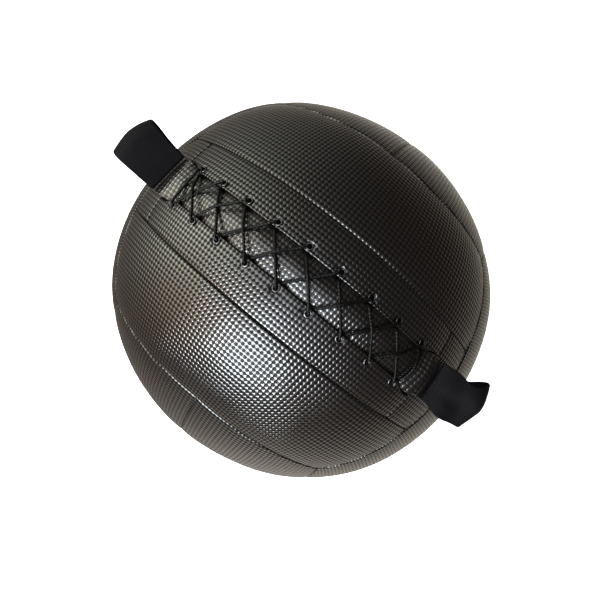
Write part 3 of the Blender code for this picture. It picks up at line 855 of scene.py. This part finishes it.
def twisted_rings(route):
    """Rings of points round the route, with the section of three plies that turns as it goes."""
    turn = np.arange(LACE_SIDES) * 2 * math.pi / LACE_SIDES
    lobes = np.abs(np.cos(1.5 * turn))
    radius = (LACE_RADIUS * (LACE_WAIST + LACE_PLY * lobes))[:, None]
    rings = []
    for step, (point, normal, other) in enumerate(frames_along(route, np.array([0.0, 0.0, 1.0]))):
        twist = (turn + step * LACE_STEP * 2 * math.pi / LACE_TURN)[:, None]
        rings.append(point + radius * (np.cos(twist) * normal + np.sin(twist) * other))
    return rings


def make_lace(material):
    """The lace: three plies twisted together."""
    over, under = half_lace(1, OVER_STRAND), half_lace(-1, UNDER_STRAND)
    bar = [lace_point(0, 1, *place) for place in START_BAR]
    rings = twisted_rings(smooth_route(over[::-1] + bar + under, LACE_STEP))
    piece = add_mesh("lace_cord", np.concatenate(rings), tube_faces(len(rings), LACE_SIDES), material)
    on_ball(piece, "lace", slot="lace_cord")


# Strap and handles ----------

# (share of the half width, height in the slit, height on the end pieces), heights in millimetres
STRAP_SECTION = [
    (0.0, 0.05, 3.3), (0.12, -0.1, 3.25), (0.5, -1.75, 2.9), (0.75, -2.15, 2.6), (0.85, -2.75, 2.5),
    (1.0, -3.9, 2.4),
]


def skewed(end, angle, offset):
    """Angle of a line that runs parallel to the handle's sewn root."""
    return angle - ENDS[end] * offset * math.tan(HANDLES[end]["yaw"]) / BALL_RADIUS


def strap_section(share, column):
    """Height of the strap's face, rounded between the section's points."""
    grid = np.linspace(-1.3, 1.3, 521)
    shares, heights = [row[0] for row in STRAP_SECTION], [row[column] for row in STRAP_SECTION]
    line = np.interp(np.abs(grid), shares, heights)
    kernel = np.exp(-np.linspace(-2.5, 2.5, 61) ** 2 / 2)
    rounded = np.convolve(line, kernel / kernel.sum(), "same")
    return np.interp(share, grid, rounded) / 1000


def lace_dimples(angle, offset):
    """How far the lace presses the strap down where it turns round the flaps' edges."""
    dimples = np.zeros_like(angle)
    for i in range(EYELET_PAIRS):
        along = (angle - eyelet_angle(i)) * BALL_RADIUS - DIMPLE_PLACE[0]
        across = np.abs(offset) - DIMPLE_PLACE[1]
        reach2 = (along / DIMPLE_SIZE[0]) ** 2 + (across / DIMPLE_SIZE[1]) ** 2
        dimples = np.maximum(dimples, DIMPLE_DEPTH * np.exp(-reach2 ** 1.3))
    return dimples


def eased(value):
    """0 to 1 with a soft start and end."""
    value = np.clip(value, 0, 1)
    return value * value * (3 - 2 * value)


def gathered(end, angle, offset):
    """Offsets after the near edge is drawn in towards the right handle's bunched root."""
    if end == "left":
        return offset
    start, span = ROOT_GATHER_SPAN
    return offset + ROOT_GATHER * np.clip(-offset / TAB_HALF_WIDTH, 0, 1) * eased((angle - start) / span)


def strap_height(angle, share, offset, rise):
    """Height of the strap's face, with the lace's dents, the bunch at the right end and slow unevenness."""
    low, high = strap_section(share, 1), strap_section(share, 2)
    height = low + (high - low) * rise - lace_dimples(angle, offset)
    middle, width = ROOT_BUNCH_PLACE
    bunch = np.exp(-((np.degrees(angle) - middle) / width) ** 2)
    height = height + ROOT_BUNCH * bunch * np.exp(-((share - 0.2) / 0.55) ** 2)
    wander = 0.00022 * np.sin(angle * 31 + 1.1) + 0.00015 * np.sin(angle * 67 + share * 2.0)
    return height + wander * (1 - share ** 2)


def make_strap(material):
    """The tongue strap: deep under the lacing, and up over both end pieces."""
    angles = graded(-STRAP_END, STRAP_END, BALL_RADIUS)
    shares = graded(-1, 1, HALF_STRIP)
    angle, share = np.meshgrid(angles, shares, indexing="ij")
    rise = eased((np.degrees(np.abs(angle)) - STRAP_RISE[0]) / STRAP_RISE[1])
    offset = share * (STRAP_HALF_WIDTH + STRAP_WIDENING * rise)
    height = strap_height(angle, share, offset, rise)
    near_end = np.clip((np.abs(angle) - STRAP_SKEW_START) / (STRAP_END - STRAP_SKEW_START), 0, 1)
    skew = np.where(angle > 0, skewed("right", 0, offset), skewed("left", 0, offset))
    bent = angle + skew * near_end
    offset = gathered("right", angle, offset)
    edge = np.minimum((1 - np.abs(share)) * HALF_STRIP, (STRAP_END - np.abs(angle)) * BALL_RADIUS)
    place, width, depth = STRAP_GROOVE
    groove = np.exp(-((edge - place) / width) ** 2) * depth
    uv = np.stack([angle * BALL_RADIUS, offset], axis=-1)
    outer = strap_point(bent, offset, height - rounding(edge, HEM_RADIUS) - groove)
    inner = strap_point(bent, offset, height - STRAP_VINYL)
    piece = plate("tongue_strap_vinyl", outer, inner, uv, material)
    on_ball(piece, "tongue_strap", slot="strap_vinyl")


def handle_frame(end):
    """Matrix of a handle's hinge: X leads away along the ball, Z out of it, and -Y is the hinge's axis."""
    out = Vector(strap_direction(np.array(ENDS[end] * HINGE_ANGLE), np.array(0.0)))
    away = Vector((out.z, 0, -out.x)) * ENDS[end]
    yaw = HANDLES[end]["yaw"]
    away = away * math.cos(yaw) + Vector((0, 1, 0)) * math.sin(yaw)
    across = out.cross(away)
    matrix = Matrix((away, across, out)).transposed().to_4x4()
    matrix.translation = Vector(strap_point(np.array(ENDS[end] * HINGE_ANGLE), np.array(0.0), HINGE_HEIGHT))
    return matrix


def loop_path(end, count):
    """Middle line of the webbing in the handle's X-Z plane, with its outward normals."""
    half = WEBBING_THICKNESS / 2
    tip, root = LOOP_END_RADIUS - half, LOOP_ROOT_RADIUS - half
    length = HANDLES[end]["length"]
    reach = length - LOOP_END_RADIUS
    slope = math.asin((tip - root) / reach)
    lower = np.array([(0.0, -root), (reach + tip * math.sin(-slope), -tip * math.cos(slope))])
    turn = -math.pi / 2 - slope + (math.pi + 2 * slope) * np.linspace(0, 1, 41)
    bow = np.stack([reach + tip * np.cos(turn), tip * np.sin(turn)], axis=1)
    upper = np.array([(0.0, root)])
    line = np.concatenate([lower[:1], bow, upper])
    places = np.linspace(0, travelled(line)[-1], count)
    line = softened(points_at(line, places), 6)
    droop = HANDLES[end]["droop"]
    if droop:
        radius = length / droop
        angle = np.maximum(line[:, 0], 0) / radius
        out = radius + line[:, 1]
        line = np.stack([out * np.sin(angle), out * np.cos(angle) - radius], axis=1)
    tangent = np.gradient(line, axis=0)
    tangent /= np.linalg.norm(tangent, axis=1)[:, None]
    normal = np.stack([tangent[:, 1], -tangent[:, 0]], axis=1)
    return line, normal, places


def slack(end, along, across):
    """How the webbing leaves its straight path: (shift away, shift across, shift out), in metres."""
    reach = np.clip(along / HANDLES[end]["length"], 0, 1)
    side = across / HALF_STRIP
    upper, lower = np.clip(side, 0, 1), np.clip(-side, 0, 1)
    if end == "left":
        lift = 0.0007 * np.sin(along * 160 + 0.8) * reach - 0.0012 * side ** 2 * reach
        away = -reach ** 2 * (0.0052 * lower ** 1.7 + 0.0018 * upper ** 1.7)
        return away, 0.0006 * reach * np.sin(along * 70) - 0.0024 * lower * reach ** 2, lift
    lift = reach * (0.0040 * np.sin(side * 2.3 + 0.9) + 0.0020 * side)
    lift -= 0.0036 * np.exp(-((side + 0.15) / 0.28) ** 2) * reach * (1.25 - reach)
    lift += 0.0016 * np.sin(along * 230 + side * 1.5) * reach
    away = -reach ** 2 * (0.0025 + 0.0032 * upper ** 1.5 + 0.0034 * lower)
    splay = 0.0056 * upper * reach ** 4 - 0.0034 * upper * np.exp(-((reach - 0.6) / 0.22) ** 2)
    gather = ROOT_GATHER * np.exp(-(reach / 0.22) ** 2)
    bulge = 0.0008 * np.exp(-((reach - 0.4) / 0.2) ** 2)
    return away, splay + lower * (gather - bulge), lift


def edged_lines(half, edge_lines, count):
    """Grid lines across a strip of webbing, fine beside both of its edges."""
    fine = np.array(edge_lines)
    middle = np.linspace(-half + EDGE_BAND, half - EDGE_BAND, count)
    return np.concatenate([-half + fine, middle, (half - fine)[::-1]])


def make_handle(end, material):
    """A loop of webbing that turns about the line where it is sewn to the ball."""
    line, normal, travel = loop_path(end, WEBBING_RINGS)
    half = WEBBING_WIDTH / 2
    offsets = edged_lines(half, WEBBING_EDGE_LINES, 15)
    selvedge = WEBBING_THICKNESS / 2
    thickness = selvedge - rounding(half - np.abs(offsets), selvedge)
    thickness = np.maximum(thickness, THINNEST_EDGE)
    away, aside, lift = slack(end, line[:, :1] + 0 * offsets, offsets + 0 * line[:, :1])
    place = handle_frame(end) @ Matrix.Rotation(-HANDLES[end]["rise"], 4, "Y")
    spin = np.array(place.to_3x3())
    layers = []
    for side in (1, -1):
        x = line[:, :1] + side * thickness * normal[:, :1] + away
        z = line[:, 1:] + side * thickness * normal[:, 1:] + lift
        y = offsets + aside
        local = np.stack([x, y + 0 * x, z], axis=-1)
        layers.append(local @ spin.T + np.array(place.translation))
    uv = np.stack([offsets + 0 * travel[:, None], travel[:, None] + 0 * offsets], axis=-1)
    piece = plate(f"{end}_handle_webbing", layers[0], layers[1], uv, material)
    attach(piece, f"{end}_handle")
    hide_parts(f"{end}_handle_loop")


def make_tab(end, material):
    """The sewn ends of the webbing, flat on the end piece under the handle's root."""
    low, high = STRAP_END + TAB_START / BALL_RADIUS, HINGE_ANGLE + TAB_REACH
    angles = np.linspace(low, high, 25) * ENDS[end]
    offsets = edged_lines(TAB_HALF_WIDTH, TAB_EDGE_LINES, 13)
    angle, offset = np.meshgrid(angles, offsets, indexing="ij")
    from_ends = np.minimum(np.abs(angle) - low, high - np.abs(angle)) * BALL_RADIUS
    edge = np.minimum(TAB_HALF_WIDTH - np.abs(offset), from_ends)
    height = TAB_TOP - rounding(edge, TAB_ROUND)
    bent = skewed(end, angle, offset)
    uv = np.stack([offset, angle * BALL_RADIUS], axis=-1)
    offset = gathered(end, angle, offset)
    outer, inner = strap_point(bent, offset, height), strap_point(bent, offset, height * 0 + TAB_BASE)
    piece = plate(f"{end}_handle_tab_webbing", outer, inner, uv, material)
    on_ball(piece, f"{end}_handle_tab", slot="webbing")


# Inner parts ----------


# Low and high colour, noise scale, roughness and depth of the grain
PLAIN_LOOKS = {
    "grey_foam": ((0.10, 0.10, 0.11, 1), (0.24, 0.24, 0.25, 1), 420.0, 0.95, 0.0006),
    "shredded_fibre": ((0.10, 0.09, 0.08, 1), (0.42, 0.39, 0.35, 1), 90.0, 0.95, 0.0025),
    "iron_sand": ((0.02, 0.018, 0.016, 1), (0.16, 0.13, 0.11, 1), 1300.0, 0.55, 0.0005),
}


def finish_inner_parts(cord):
    foam, fibre, sand = (plain_material(name, *look) for name, look in PLAIN_LOOKS.items())
    canvas = canvas_material()
    looks = {
        "foam_lining": foam, "filling": fibre, "iron_sand": sand,
        "inner_bag": canvas, "sand_pouch": canvas, "pouch_tie": cord,
    }
    for node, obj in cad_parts.items():
        for start, material in looks.items():
            if node.startswith(start):
                obj.data.materials.clear()
                obj.data.materials.append(material)


# Camera, floor and light ----------


LENS = 23.4                 # millimetres, on a 36 mm sensor
LENS_SHIFT = (-0.0017, -0.0163)
CAMERA_DISTANCE = 2.3232 * BALL_RADIUS
CAMERA_LEAN = (0.0717, -0.0441)     # radians from straight above the ball, towards +X and +Y
CAMERA_ROLL = 0.6802


def make_camera():
    """A camera close above the ball, turned so that the lacing runs from upper left to lower right."""
    data = bpy.data.cameras.new("camera")
    data.sensor_width = 36.0
    data.lens = LENS
    data.clip_start = 0.01
    data.shift_x, data.shift_y = LENS_SHIFT
    camera = bpy.data.objects.new("camera", data)
    bpy.context.scene.collection.objects.link(camera)
    x, y = (math.sin(lean) for lean in CAMERA_LEAN)
    back = Vector((x, y, math.sqrt(1 - x * x - y * y)))
    side = Vector((0, 1, 0)).cross(back).normalized()
    up = back.cross(side)
    right = side * math.cos(CAMERA_ROLL) + up * math.sin(CAMERA_ROLL)
    above = -side * math.sin(CAMERA_ROLL) + up * math.cos(CAMERA_ROLL)
    pose = Matrix((right, above, back)).transposed().to_4x4()
    pose.translation = Vector(CENTRE) + back * CAMERA_DISTANCE
    camera.matrix_world = pose
    bpy.context.scene.camera = camera


def aim_vector(azimuth, elevation):
    """Unit vector towards a direction given in degrees."""
    a, e = math.radians(azimuth), math.radians(elevation)
    return Vector((math.cos(e) * math.cos(a), math.cos(e) * math.sin(a), math.sin(e)))


def area_light(name, azimuth, elevation, distance, size, power, colour, glossy=True):
    """A soft light that faces the ball from a direction given in degrees."""
    data = bpy.data.lights.new(name, "AREA")
    data.shape = "RECTANGLE"
    data.size, data.size_y = size
    data.energy = power
    data.color = colour
    light = bpy.data.objects.new(name, data)
    aim = aim_vector(azimuth, elevation)
    light.location = Vector(CENTRE) + aim * distance
    light.rotation_euler = aim.to_track_quat("Z", "Y").to_euler()
    light.visible_glossy = glossy
    bpy.context.scene.collection.objects.link(light)


FLOOR_SIZE = 14
FLOOR_DROP = 0.0004         # gap under the ball, so that the faces don't coincide
FLOOR_GLOW = 0.42


def make_floor():
    """A pale floor, a little brighter than its light alone would make it, that the vinyl doesn't mirror."""
    nodes = new_material("pale_floor")
    grain = nodes.noise(nodes.place(), 14.0, 4.0)
    nodes.set(Base_Color=nodes.mix(grain, (0.80, 0.80, 0.80, 1), (0.84, 0.84, 0.84, 1)), Roughness=0.75)
    nodes.set(Emission_Color=(1, 1, 1, 1), Emission_Strength=FLOOR_GLOW)
    bpy.ops.mesh.primitive_plane_add(size=FLOOR_SIZE, location=(0, 0, -FLOOR_DROP))
    floor = bpy.context.object
    floor.name = "floor"
    floor.data.materials.append(nodes.owner)
    floor.visible_glossy = False
    floor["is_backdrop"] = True


# Soft glows of the room that the vinyl mirrors: azimuth and elevation in degrees, width, and colour
GLOWS = [
    (-171, 31, 20, (7.3, 7.4, 6.3)),
    (150, 15, 27, (0.55, 0.60, 0.56)),
    (-95, 68, 20, (4.5, 4.8, 5.1)),
    (-128, 27, 12, (3.9, 2.2, 1.15)),
    (-57, 29, 7, (1.4, 0.85, 0.50)),
    (-64, -25, 26, (0.95, 0.88, 0.80)),
    (-12, -42, 24, (0.35, 0.33, 0.29)),
    (42, -48, 26, (0.17, 0.17, 0.13)),
    (100, -55, 22, (0.50, 0.48, 0.42)),
]


ROOM_TINT = (0.055, 0.038, 0.032, 1)
GROUND_TINT = (0.23, 0.19, 0.16, 1)     # what the vinyl mirrors below the horizon
BACKDROP = (0.95, 0.95, 0.95, 1)


def make_world():
    """A dim warm room with soft glows. The camera itself sees a plain pale backdrop."""
    world = bpy.data.worlds.new("room")
    nodes = Nodes(world, "Background")
    place = nodes.add("ShaderNodeTexCoord").outputs["Generated"]
    height = nodes.add("ShaderNodeSeparateXYZ", {0: place}).outputs[2]
    colour = nodes.mix(nodes.ramp(height, 0.05, -0.35), ROOM_TINT, GROUND_TINT)
    for azimuth, elevation, width, tint in GLOWS:
        aim = aim_vector(azimuth, elevation)
        towards = nodes.add("ShaderNodeVectorMath", {0: place, 1: aim}, operation="DOT_PRODUCT")
        off_centre = nodes.math("SUBTRACT", towards.outputs["Value"], 1.0)
        sharpness = math.log(2) / (1 - math.cos(math.radians(width)))
        glow = nodes.math("EXPONENT", nodes.math("MULTIPLY", off_centre, sharpness))
        scaled = nodes.add("ShaderNodeVectorMath", {0: tint, "Scale": glow}, operation="SCALE")
        inputs = {0: colour, 1: scaled.outputs[0]}
        colour = nodes.add("ShaderNodeVectorMath", inputs, operation="ADD").outputs[0]
    seen = nodes.add("ShaderNodeLightPath").outputs["Is Camera Ray"]
    nodes.set(Color=nodes.mix(seen, colour, BACKDROP))
    bpy.context.scene.world = world
    bpy.context.scene.view_settings.view_transform = "Standard"


def make_lights():
    """A window that the vinyl mirrors, and an overhead light that it doesn't."""
    area_light("window", -87.5, 43.5, 1.3, (0.92, 0.58), 45, (0.87, 0.95, 1.0))
    area_light("overhead", 20, 88, 2.2, (3.0, 3.0), 52, (1.0, 1.0, 1.0), glossy=False)


def main():
    vinyl = vinyl_material("black_vinyl", 0.0036, 0.125, 0.05)
    webbing = webbing_material()
    cord = cord_material("black_cord", 0.0006)
    thread = cord_material("grey_thread", 0.004)
    make_panels(vinyl)
    for side in SIDES:
        make_flap(side, vinyl)
    for end in ENDS:
        make_end_piece(end, vinyl)
        make_handle(end, webbing)
        make_tab(end, webbing)
    make_strap(vinyl_material("strap_vinyl", 0.0036, 0.125, 0.22))
    make_eyelets(metal_material())
    make_lace(cord)
    make_seam_stitches(thread)
    make_hem_stitches(thread)
    finish_inner_parts(cord)
    make_camera()
    make_floor()
    make_world()
    make_lights()


main()
boxes = {"cad": CAD_BOX, "visual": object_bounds()}
{name: [list(corner) for corner in box] for name, box in boxes.items()}
